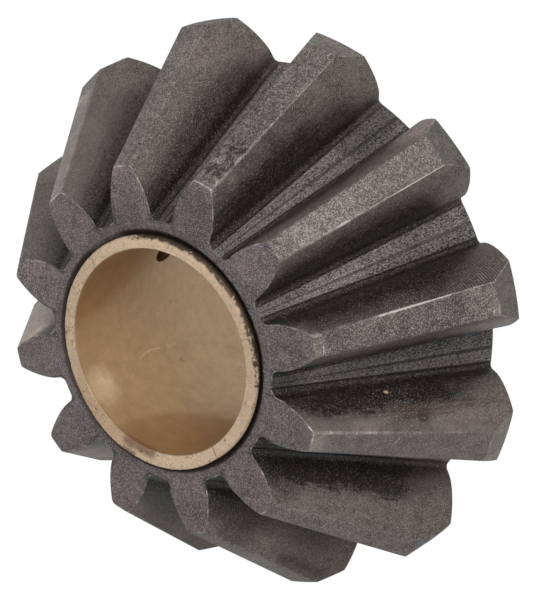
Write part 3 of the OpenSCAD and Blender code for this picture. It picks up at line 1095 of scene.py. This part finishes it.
def ring_mesh(name: str, rows: np.ndarray, marks: Dict[str, np.ndarray]) -> bpy.types.Object:
    """Makes a closed surface from rows of points that close on themselves both ways.

    Args:
        name: the piece's name.
        rows: points in millimetres, one row per step round the section, each row going round the axis.
        marks: values per point, of one or three numbers.
    Returns:
        The object, at the origin.
    """
    steps, around = rows.shape[:2]
    index = np.arange(steps * around).reshape(steps, around)
    after = np.roll(index, -1, axis=0)
    corners = [index, np.roll(index, -1, axis=1), np.roll(after, -1, axis=1), after]
    quads = np.stack(corners, axis=-1).reshape(-1, 4)
    points = rows.reshape(-1, 3)
    a, b, c = (points[quads[:, i]] for i in range(3))
    if np.einsum("ij,ij->", a, np.cross(b, c)) < 0:
        quads = quads[:, ::-1]
    mesh = bpy.data.meshes.new(name)
    mesh.vertices.add(len(points))
    mesh.vertices.foreach_set("co", (points * MM).ravel())
    mesh.loops.add(quads.size)
    mesh.loops.foreach_set("vertex_index", quads.ravel())
    mesh.polygons.add(len(quads))
    mesh.polygons.foreach_set("loop_start", np.arange(0, quads.size, 4))
    mesh.polygons.foreach_set("use_smooth", np.ones(len(quads), dtype=bool))
    mesh.update(calc_edges=True)
    mesh.validate()
    mesh.set_sharp_from_angle(angle=SHARP)
    for mark, values in marks.items():
        kind = "FLOAT_VECTOR" if values.ndim == 3 else "FLOAT"
        layer = mesh.attributes.new(mark, kind, "POINT")
        layer.data.foreach_set(MARK_SLOTS[kind][0], values.ravel())
    piece = bpy.data.objects.new(name, mesh)
    bpy.context.scene.collection.objects.link(piece)
    return piece


@dataclass
class RowStack:
    """Rows of points round the axis, with the marks of their points."""

    count: int
    far: float = 9.0
    points: List[np.ndarray] = field(default_factory=list)
    marks: Dict[Mark, List[np.ndarray]] = field(default_factory=lambda: {mark: [] for mark in Mark})

    def add(self, block: np.ndarray, values: Dict[Mark, Any]) -> None:
        """Appends rows; a mark that isn't given is 0, or far where it is a distance.

        Args:
            block: the points of one row or of several.
            values: marks that fit those rows.
        """
        block = block.reshape(-1, self.count, 3)
        self.points.append(block)
        for mark, kept in self.marks.items():
            plain = self.far if mark in (Mark.TIP, Mark.FOOT, Mark.END, Mark.HEEL) else 0.0
            value = np.asarray(values.get(mark, plain), dtype=float)
            kept.append(np.broadcast_to(value, block.shape[:2]))


@dataclass(frozen=True)
class ToothForm:
    """Roundings of the tooth outline at one end of the teeth, in millimetres on the flat back cone."""

    fillet: float
    tip_round: float


@dataclass
class PinionGear:
    """The steel gear, as one closed surface round its axis, in millimetres."""

    teeth: int = TEETH
    mate_teeth: int = 20
    outer_module: float = 7.05
    face_width: float = 35.8
    pressure_angle: float = math.radians(22.5)
    addendum: float = 6.6
    dedendum: float = 5.7
    tooth_thickness: float = 11.85
    heel_trim: float = 2.8
    back_radius: float = 73.0
    back_flat_r: float = 24.0
    bore_r: float = 18.0
    toe_chamfer: float = 0.8
    back_chamfer: float = 1.5
    toe_form: ToothForm = ToothForm(2.0, 0.72)
    heel_form: ToothForm = ToothForm(0.7, 0.16)
    edge_round: float = 0.2
    toe_inset: float = 0.08
    hub_sink: float = 0.03
    heel_inset: float = 0.5
    fan_lean: float = 0.30
    form_power: float = 1.6
    tooth_stride: float = 61.7
    tooth_rows: int = 28
    face_rows: int = 8
    back_rows: int = 14
    band_rows: int = 6
    bend_rows: int = 4
    bottom_points: int = 6
    fillet_points: int = 9
    flank_points: int = 18
    flank_power: float = 0.9
    tip_points: int = 5
    land_points: int = 6
    finish: SteelFinish = field(default_factory=SteelFinish)

    def __post_init__(self) -> None:
        """Works out the pitch cone, the heights and the tooth form, as the CAD source does."""
        self.pitch = math.atan2(self.teeth, self.mate_teeth)
        self.pitch_r = self.outer_module * self.teeth / 2
        self.cone = self.pitch_r / math.sin(self.pitch)
        self.sphere_z = math.sqrt(self.back_radius**2 - self.back_flat_r**2)
        heel_z = self.sphere_z - math.sqrt(self.back_radius**2 - self.pitch_r**2)
        self.apex_z = heel_z + self.cone * math.cos(self.pitch)
        self.toe_drop = (self.cone - self.face_width) * math.cos(self.pitch)
        self.toe_z = self.apex_z - self.toe_drop
        self.heel_r = self.pitch_r + self.addendum * math.cos(self.pitch) - self.heel_trim
        self.band_z = self.sphere_z - math.sqrt(self.back_radius**2 - self.heel_r**2)
        self.flat_r = self.cone * math.tan(self.pitch)
        self.root_r = self.flat_r - self.dedendum
        self.tip_r = self.flat_r + self.addendum
        self.half_pitch = math.pi / self.teeth * math.cos(self.pitch)
        self.toe_profile = self.half_profile(self.toe_form)
        self.heel_profile = self.half_profile(self.heel_form)
        half = len(self.heel_profile) - 1
        step = 2 * math.pi / self.teeth
        starts = np.arange(self.teeth)[:, None] * step
        sides = [starts + np.zeros(half), starts + np.full(half, step)]
        self.start_turn = np.concatenate(sides, axis=1).ravel()
        self.sense = np.tile(np.repeat([1.0, -1.0], half), self.teeth)

    def space_angle(self, r: Any) -> Any:
        """Half angle of a tooth space on the flat back cone: an involute above the base circle.

        Args:
            r: radius on the flat back cone.
        Returns:
            The angle in radians.
        """
        base = self.flat_r * math.cos(self.pressure_angle)
        start = self.tooth_thickness / 2 / self.flat_r + math.tan(self.pressure_angle) - self.pressure_angle
        roll = np.arccos(np.minimum(1.0, base / r))
        return self.half_pitch - (start - (np.tan(roll) - roll))

    def half_profile(self, form: ToothForm) -> np.ndarray:
        """Half a pitch of the tooth outline on the flat back cone, from mid space to mid tooth.

        The bottom of the space is an arc about the axis, then a fillet, the flank, a rounded tip corner and
        half of the top land. All forms have the same number of points.

        Args:
            form: the roundings.
        Returns:
            Points as x across and y outwards.
        """
        fillet_mid = self.root_r + form.fillet
        flank_start = math.sqrt(self.root_r**2 + 2 * self.root_r * form.fillet)
        lean = math.asin(form.fillet / fillet_mid)
        fillet_at = float(self.space_angle(flank_start)) - lean
        bottom = self.root_r * bearing(np.linspace(0.0, fillet_at, self.bottom_points))
        bow = np.linspace(0.0, 1.0, self.fillet_points + 1)[1:]
        arc = fillet_at + math.pi - bow * (math.pi / 2 - lean)
        fillet = bearing(arc) * form.fillet
        fillet += fillet_mid * np.array([math.sin(fillet_at), math.cos(fillet_at)])
        rise = np.linspace(0, 1, self.flank_points + 1)[1:] ** self.flank_power
        flank_r = flank_start + (self.tip_r - form.tip_round - flank_start) * rise
        flank = flank_r[:, None] * bearing(self.space_angle(flank_r))
        corner_at = float(self.space_angle(self.tip_r))
        land_from = corner_at + form.tip_round / self.tip_r
        land = self.tip_r * bearing(np.linspace(land_from, self.half_pitch, self.land_points))
        corner = self.tip_r * np.array([math.sin(corner_at), math.cos(corner_at)])
        tip = corner_arc(flank[-1], corner, land[0], self.tip_points).reshape(-1, 2)
        self.foot_index = len(bottom) - 1
        self.tip_index = len(bottom) + len(fillet) + len(flank) + 1
        return np.concatenate([bottom, fillet, flank, tip, land[1:]])

    def normals(self, profile: np.ndarray) -> np.ndarray:
        """Directions into the metal along a half profile, square to it.

        Args:
            profile: points of the half profile.
        Returns:
            One unit vector per point.
        """
        mirror = np.array([math.cos(self.half_pitch), -math.sin(self.half_pitch)])
        before = profile[1] * np.array([-1.0, 1.0])
        after = profile[-2] - 2 * (profile[-2] @ mirror) * mirror
        legs = np.diff(np.vstack([before, profile, after]), axis=0)
        legs /= np.linalg.norm(legs, axis=1)[:, None]
        tangent = legs[:-1] + legs[1:]
        tangent /= np.linalg.norm(tangent, axis=1)[:, None]
        return np.stack([tangent[:, 1], -tangent[:, 0]], axis=-1)

    def around(self, half: np.ndarray) -> np.ndarray:
        """Repeats a symmetric value of the half profile round the whole gear."""
        return np.tile(np.concatenate([half[:-1], half[:0:-1]]), self.teeth)

    def outline(self, profile: np.ndarray, inset: Any = 0.0) -> Tuple[np.ndarray, np.ndarray]:
        """Apex rays through the whole outline, with a space centred on +X.

        Args:
            profile: points of the half profile.
            inset: how far into the metal, one value or one per column.
        Returns:
            Angle from the axis and angle round it, per column.
        """
        normal = self.normals(profile)
        x = self.around(profile[:, 0]) + inset * self.around(normal[:, 0])
        y = self.around(profile[:, 1]) + inset * self.around(normal[:, 1])
        lean = self.pitch + np.arctan((np.hypot(x, y) - self.flat_r) / self.cone)
        return lean, self.start_turn + self.sense * np.arctan2(x, y) / math.cos(self.pitch)

    def fan(self) -> np.ndarray:
        """Turns of the columns on the hub and on the flat ring.

        Returns:
            One angle per column; they lean into the teeth, so that no rows cross.
        """
        at = np.arctan2(self.toe_profile[:, 0], self.toe_profile[:, 1]) / math.cos(self.pitch)
        whole = math.pi / self.teeth
        return self.start_turn + self.sense * self.around(at + self.fan_lean * at * (whole - at) / whole)

    def on_ray(self, lean: Any, turn: Any, s: Any) -> np.ndarray:
        """Points at a distance s from the apex along rays."""
        return turn_points(s * np.sin(lean), turn, self.apex_z - s * np.cos(lean))

    def sphere_hit(self, lean: np.ndarray) -> np.ndarray:
        """Distance from the apex to the spherical back along rays."""
        gap = self.apex_z - self.sphere_z
        return gap * np.cos(lean) + np.sqrt((gap * np.cos(lean)) ** 2 + self.back_radius**2 - gap**2)

    def heel_hit(self, lean: np.ndarray) -> np.ndarray:
        """Distance from the apex to the heel along rays: the turned band or the spherical back."""
        return np.minimum(self.heel_r / np.sin(lean), self.sphere_hit(lean))

    def on_sphere(self, r: Any, turn: Any) -> np.ndarray:
        """Points of the spherical back at a radius from the axis."""
        return turn_points(r, turn, self.sphere_z - np.sqrt(self.back_radius**2 - r**2))

    def surface(self) -> Tuple[np.ndarray, Dict[str, np.ndarray]]:
        """The whole surface as rows of points, each row going once round the gear.

        The rows go up the bore, out over the toe face to the tooth outline, down the teeth along rays from
        the apex, over the heel, in across the spherical back and the flat ring, and back to the bore.

        Returns:
            The rows and the marks that the finish reads.
        """
        stack = RowStack(len(self.sense))
        self.add_toe(stack)
        self.add_teeth(stack)
        self.add_back(stack)
        points = np.concatenate(stack.points)
        marks = {mark.value: np.concatenate(values) for mark, values in stack.marks.items()}
        reach = np.linalg.norm(points - np.array([0.0, 0.0, self.apex_z]), axis=-1)
        along = np.broadcast_to(self.tooth_places(), reach.shape)
        marks[TOOTH_CO] = np.stack([along, reach, 0 * reach], axis=-1)
        return points, marks

    def toe_rounding(self) -> np.ndarray:
        """Rounding of the toe edge per column: uneven, and larger on the top lands."""
        uneven = self.edge_round * (0.75 + 0.4 * ragged(self.start_turn + 0.1 * self.sense, (5, 9, 11)))
        return uneven * (1 + 0.4 * self.on_land())

    def on_land(self) -> np.ndarray:
        """1 for the columns of the top lands, 0 elsewhere."""
        return self.around((np.arange(len(self.heel_profile)) > self.tip_index).astype(float))

    def add_toe(self, stack: RowStack) -> None:
        """Adds the bore, its chamfer and the toe face up to its rounded edge.

        Args:
            stack: the rows so far.
        """
        fan = self.fan()
        hub_r = self.bore_r + self.toe_chamfer
        bore_z = np.array([self.back_chamfer, self.toe_z / 2, self.toe_z - self.toe_chamfer])[:, None]
        stack.add(turn_points(self.bore_r, fan[None, :], bore_z), {Mark.GROOVE: 1.0})
        stack.add(turn_points(hub_r - self.hub_sink, fan, self.toe_z - self.hub_sink), {Mark.GROOVE: 1.0})
        rounding = self.toe_rounding()
        inset = rounding + self.toe_inset
        shrink = self.cone / (self.cone - self.face_width)
        lean, turn = self.outline(self.toe_profile, inset * shrink)
        reach = self.toe_drop * np.tan(lean)
        t = np.linspace(0.0, 1.0, self.face_rows)[:, None]
        face = turn_points(hub_r + (reach - hub_r) * t, fan + (turn - fan) * t, self.toe_z)
        stack.add(face, {Mark.TOE: 1.0, Mark.END: inset + (1 - t) * (reach - hub_r)})
        lean, turn = self.outline(self.toe_profile, rounding * shrink)
        last = turn_points(self.toe_drop * np.tan(lean), turn, self.toe_z)
        stack.add(last, {Mark.TOE: 1.0, Mark.END: rounding})

    def depths(self, profile: np.ndarray) -> np.ndarray:
        """Depth per column, 0 at the tip and 1 at the root."""
        return self.around((self.tip_r - np.hypot(*profile.T)) / (self.tip_r - self.root_r))

    def add_teeth(self, stack: RowStack) -> None:
        """Adds the toe edge and the teeth down to the heel; the outline changes evenly from toe to heel.

        Args:
            stack: the rows so far, ending on the toe face.
        """
        rounding = self.toe_rounding()
        toe_lean, toe_turn = self.outline(self.toe_profile)
        heel_lean, heel_turn = self.outline(self.heel_profile)
        s_toe = self.toe_drop / np.cos(toe_lean)
        s_end = self.heel_hit(heel_lean)
        toe_depth, heel_depth = self.depths(self.toe_profile), self.depths(self.heel_profile)
        arc = self.arc_lengths()
        tip = self.around(arc - arc[self.tip_index])
        foot = self.around(arc - arc[self.foot_index])
        land = self.on_land()
        corner = self.on_ray(toe_lean, toe_turn, s_toe)
        past = self.on_ray(toe_lean, toe_turn, s_toe + rounding)
        bend = corner_arc(stack.points[-1], corner, past, len(BEND_FADE))
        shrunk = s_toe / self.cone
        marks = {Mark.DEPTH: toe_depth, Mark.TIP: tip * shrunk, Mark.FOOT: foot * shrunk, Mark.LAND: land}
        stack.add(bend, {**marks, Mark.TOE: BEND_FADE, Mark.END: BEND_AWAY * rounding})
        t = np.linspace(0.0, 1.0, self.tooth_rows + 1)[1:, None]
        s = s_toe + rounding + (s_end - s_toe - rounding - self.edge_round) * t
        toe_share = (1 - t) ** self.form_power
        lean = heel_lean + (toe_lean - heel_lean) * toe_share
        turn = heel_turn + (toe_turn - heel_turn) * toe_share
        depth = heel_depth + (toe_depth - heel_depth) * toe_share
        shrunk = s / self.cone
        marks = {Mark.DEPTH: depth, Mark.TIP: tip * shrunk, Mark.FOOT: foot * shrunk, Mark.LAND: land}
        stack.add(self.on_ray(lean, turn, s), {**marks, Mark.END: s - s_toe, Mark.HEEL: s_end - s})

    def add_back(self, stack: RowStack) -> None:
        """Adds the heel edge, the turned band, the spherical back and the flat ring.

        Args:
            stack: the rows so far, ending just above the heel.
        """
        lean, turn = self.outline(self.heel_profile)
        in_lean, in_turn = self.outline(self.heel_profile, self.edge_round)
        deep_lean, deep_turn = self.outline(self.heel_profile, self.heel_inset)
        in_end = self.on_ray(in_lean, in_turn, self.heel_hit(in_lean))
        corner = self.on_ray(lean, turn, self.heel_hit(lean))
        bend = corner_arc(stack.points[-1][-1], corner, in_end, len(BEND_GROW))
        banded = in_lean > math.atan2(self.heel_r, self.apex_z - self.band_z)
        marks = {Mark.BAND: BEND_GROW * banded, Mark.BACK: BEND_GROW * ~banded}
        stack.add(bend, {**marks, Mark.HEEL: BEND_AWAY * self.edge_round})

        top = in_end[:, 2]
        small = np.minimum(self.edge_round, 0.45 * np.maximum(top - self.band_z, 1e-3))
        band = turn_points(self.heel_r, in_turn, top + (self.band_z + small - top) * shares(self.band_rows))
        start_r = self.heel_r - small * math.sqrt(1 - (self.heel_r / self.back_radius) ** 2)
        corner = turn_points(self.heel_r, in_turn, self.band_z)
        under = corner_arc(band[-1], corner, self.on_sphere(start_r, in_turn), self.bend_rows)
        band = np.concatenate([band, under])
        w = shares(self.band_rows + self.bend_rows)
        plain_lean = in_lean + (deep_lean - in_lean) * w
        plain = self.on_ray(plain_lean, in_turn + (deep_turn - in_turn) * w, self.sphere_hit(plain_lean))
        block = np.where(banded[None, :, None], band, plain)
        near = np.minimum(top - block[..., 2] + self.edge_round, np.abs(block[..., 2] - self.band_z))
        share = np.concatenate([np.zeros(len(w) - 2), [0.6, 1.0]])[:, None]
        marks = {Mark.BAND: banded * (1 - share), Mark.BACK: np.where(banded, share, 1.0)}
        stack.add(block, {**marks, Mark.HEEL: np.where(banded, near, self.edge_round + 0.3 * w)})

        fan = self.fan()
        from_r = np.where(banded, start_r, np.hypot(plain[-1, :, 0], plain[-1, :, 1]))
        from_turn = np.where(banded, in_turn, deep_turn)
        t = shares(self.back_rows)
        sphere = self.on_sphere(from_r + (self.back_flat_r - from_r) * t, from_turn + (fan - from_turn) * t)
        stack.add(sphere, {Mark.BACK: 1.0, Mark.HEEL: 0.5 + (from_r - self.back_flat_r) * t})
        ring = np.array([self.back_flat_r - 0.2, self.bore_r + self.back_chamfer])[:, None]
        stack.add(turn_points(ring, fan, 0.0), {Mark.BACK: 1.0})

    def arc_lengths(self) -> np.ndarray:
        """Length along the half profile at the heel, from mid space."""
        legs = np.linalg.norm(np.diff(self.heel_profile, axis=0), axis=1)
        return np.concatenate([[0.0], np.cumsum(legs)])

    def tooth_places(self) -> np.ndarray:
        """Length along the whole outline, for streaks that follow the teeth.

        Returns:
            One length per column, with a start of its own for each tooth.
        """
        arc = self.arc_lengths()
        one = np.concatenate([arc[:-1], 2 * arc[-1] - arc[:0:-1]])
        return (np.arange(self.teeth)[:, None] * self.tooth_stride + one[None, :]).ravel()

    def build(self) -> bpy.types.Object:
        """Makes the gear, dresses it and sets it in the CAD node's place.

        Returns:
            The piece.
        """
        rows, marks = self.surface()
        piece = ring_mesh("steel_pinion", rows, marks)
        self.finish.hole.drill(piece)
        piece.data.materials.append(self.finish.material())
        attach(piece, ROOT_BODY)
        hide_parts("pinion_gear")
        return piece


@dataclass
class Bush:
    """The bronze bush, turned about the axis with hand-broken edges, in millimetres."""

    bore_r: float = 16.0
    outer_r: float = 18.0
    low_z: float = 0.7
    high_z: float = 40.6948
    toe_z: float = 40.1448
    inner_edge: float = 0.3
    outer_edge: float = 0.4
    rubbed: float = 0.08
    burr: float = 0.16
    sunk: float = 0.25
    sunk_turn: float = math.radians(-147.5)
    lip: float = 0.42
    lip_turn: float = math.radians(-100.0)
    soiled_turn: float = math.radians(38.0)
    steps: int = 1080
    finish: BronzeFinish = field(default_factory=BronzeFinish)

    def surface(self) -> Tuple[np.ndarray, Dict[str, np.ndarray]]:
        """The turned section carried round the axis, up the bore and down the outside.

        The end stands a little askew: its height follows a cosine of the turn. The inner edge is rubbed.
        The outer edge is a ragged chamfer that is widest on one side and bulges into a lip on another.

        Returns:
            The rows and the marks that the finish reads.
        """
        turn = np.arange(self.steps) * 2 * math.pi / self.steps
        inner = self.bore_r + self.rubbed * (1.2 + 0.15 * ragged(turn, (7, 19, 31)))
        chips = self.burr * np.clip(ragged(turn, (13, 29, 53, 97)) - 0.15, 0.0, 1.0)
        edge = self.outer_edge * (0.45 + 0.75 * np.clip(0.6 + np.cos(turn - self.soiled_turn), 0.0, 1.0))
        flare = self.lip * np.clip((np.cos(turn - self.lip_turn) - 0.70) / 0.25, 0.0, 1.0)
        high = self.high_z - self.sunk * (0.5 + 0.5 * np.cos(turn - self.sunk_turn))
        low, rim = self.low_z, self.outer_r + flare
        section: List[Tuple[Any, Any, float, float]] = [
            (self.bore_r, low + self.inner_edge, 0.0, 0.0),
            (self.bore_r, 12.0, 0.0, 0.0),
            (self.bore_r, 26.0, 0.0, 0.0),
            (self.bore_r, high - 1.0, 0.0, 0.0),
            (self.bore_r, high - self.rubbed, 0.0, 0.0),
            (inner, high, 0.9, 0.0),
            (inner + 0.1, high, 1.0, 0.0),
            (rim - edge - 0.3, high, 1.0, 0.0),
            (rim - edge - chips, high - 0.2 * chips, 1.0, 0.0),
            (rim - 0.4 * edge - 0.8 * chips, high - 0.3 * edge - 0.4 * chips, 1.0, 0.0),
            (rim - 0.3 * chips, high - edge, 1.0, 0.0),
            (self.outer_r + 0.9 * flare, self.toe_z - 0.10, 0.8, 0.1),
            (self.outer_r + 0.4 * flare, self.toe_z - 0.30, 0.0, 1.0),
            (self.outer_r, self.toe_z - 0.75, 0.0, 1.0),
            (self.outer_r, low + self.outer_edge, 0.0, 1.0),
            (self.outer_r - self.outer_edge, low, 0.0, 0.0),
            (self.bore_r + self.inner_edge, low, 0.0, 0.0),
        ]
        rows = np.stack([turn_points(r, turn, z) for r, z, _, _ in section])
        face, outer = (np.repeat(np.array(v)[:, None], self.steps, axis=1) for v in list(zip(*section))[2:])
        return rows, {RING_FACE: face, RING_OUTER: outer}

    def build(self) -> bpy.types.Object:
        """Makes the bush, dresses it and sets it in the CAD node's place.

        Returns:
            The piece.
        """
        rows, marks = self.surface()
        piece = ring_mesh("bronze_bush", rows, marks)
        self.finish.hole.drill(piece)
        piece.data.materials.append(self.finish.material())
        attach(piece, ROOT_BODY)
        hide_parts("bushing")
        return piece


@dataclass(frozen=True)
class Lamp:
    """A square area lamp aimed at the object, in millimetres and watts."""

    name: str
    place: Point
    size: float
    power: float
    aim: Point = (0.0, 0.0, 20.0)

    def build(self) -> bpy.types.Object:
        """Hangs the lamp and turns it to the object.

        Returns:
            The lamp.
        """
        data = bpy.data.lights.new(self.name, "AREA")
        data.size = self.size * MM
        data.energy = self.power
        piece = bpy.data.objects.new(self.name, data)
        piece.location = Vector(self.place) * MM
        aim = Vector(self.aim) * MM - piece.location
        piece.rotation_mode = "QUATERNION"
        piece.rotation_quaternion = aim.to_track_quat("-Z", "Y")
        bpy.context.scene.collection.objects.link(piece)
        return piece


@dataclass
class Studio:
    """White floor, one soft lamp, a pale world and the camera of the photograph. Lengths in millimetres."""

    eye: Point = (200.297, 127.582, 304.151)
    aim: Point = (5.366, 3.778, 20.0)
    roll: float = math.radians(-114.799)
    lens: float = 143.26
    sensor: float = 36.0
    clip_m: Span = (0.01, 50.0)
    floor_half: float = 3000.0
    floor_grey: float = 0.25
    floor_glow: float = 0.92
    glow_strength: float = 1.08
    world_light: float = 0.50
    key: Lamp = Lamp("key", (300.0, 300.0, 420.0), 500.0, 3.0)

    def camera(self) -> bpy.types.Object:
        """Adds the camera: it looks from eye to aim and is rolled about that line.

        Returns:
            The camera.
        """
        data = bpy.data.cameras.new("photo_camera")
        data.lens = self.lens
        data.sensor_width = self.sensor
        data.clip_start, data.clip_end = self.clip_m
        piece = bpy.data.objects.new("photo_camera", data)
        eye, aim = Vector(self.eye) * MM, Vector(self.aim) * MM
        ahead = (aim - eye).normalized()
        level = ahead.cross(Vector((0, 0, 1))).normalized()
        upright = level.cross(ahead)
        right = level * math.cos(self.roll) + upright * math.sin(self.roll)
        turn = Matrix((right, right.cross(ahead), -ahead)).transposed()
        piece.matrix_world = Matrix.Translation(eye) @ turn.to_4x4()
        bpy.context.scene.collection.objects.link(piece)
        bpy.context.scene.camera = piece
        return piece

    def floor(self) -> bpy.types.Object:
        """Adds the floor that the gear stands on: white to the eye, with a faint shadow.

        Returns:
            The floor.
        """
        half = self.floor_half * MM
        mesh = bpy.data.meshes.new("studio_floor")
        corners = [(-half, -half, 0.0), (half, -half, 0.0), (half, half, 0.0), (-half, half, 0.0)]
        mesh.from_pydata(corners, [], [(0, 1, 2, 3)])
        piece = bpy.data.objects.new("studio_floor", mesh)
        bpy.context.scene.collection.objects.link(piece)
        made = bpy.data.materials.new("white_floor")
        g = Graph(made)
        plain = g.node("ShaderNodeBsdfDiffuse", {}, {"Color": (self.floor_grey,) * 3 + (1.0,)})
        glow = g.node("ShaderNodeEmission", {}, {"Color": WHITE, "Strength": self.glow_strength})
        both = g.node("ShaderNodeMixShader", {}, {0: self.seen(g) * self.floor_glow, 1: plain, 2: glow})
        g.node("ShaderNodeOutputMaterial", {}, {"Surface": both})
        mesh.materials.append(made)
        return piece

    @staticmethod
    def seen(g: Graph) -> Sock:
        """Tells what the camera sees, straight, mirrored or through glass.

        Args:
            g: the graph.
        Returns:
            1 for such rays, 0 for others.
        """
        kinds = ("Camera", "Glossy", "Transmission")
        rays = [g.node("ShaderNodeLightPath", {}, {}, f"Is {kind} Ray") for kind in kinds]
        return rays[0].most(rays[1]).most(rays[2])

    def world(self) -> None:
        """Makes the world white where it is seen or mirrored, and a soft pale light elsewhere."""
        made = bpy.data.worlds.new("studio_world")
        bpy.context.scene.world = made
        g = Graph(made)
        strength = self.world_light + self.seen(g) * (1.0 - self.world_light)
        shade = g.node("ShaderNodeBackground", {}, {"Color": WHITE, "Strength": strength})
        g.node("ShaderNodeOutputWorld", {}, {"Surface": shade})

    def build(self) -> None:
        """Sets up everything that isn't the object."""
        bpy.context.scene.view_settings.view_transform = "Standard"
        self.world()
        self.floor()
        self.key.build()
        self.camera()


def main() -> None:
    """Builds the studio and the two pieces, then notes the sizes."""
    logging.basicConfig(level=logging.INFO, format="%(name)s: %(message)s")
    Studio().build()
    for maker in (PinionGear(), Bush()):
        piece = maker.build()
        log.info("%s: %d faces", piece.name, len(piece.data.polygons))


if __name__ == "__main__":
    main()
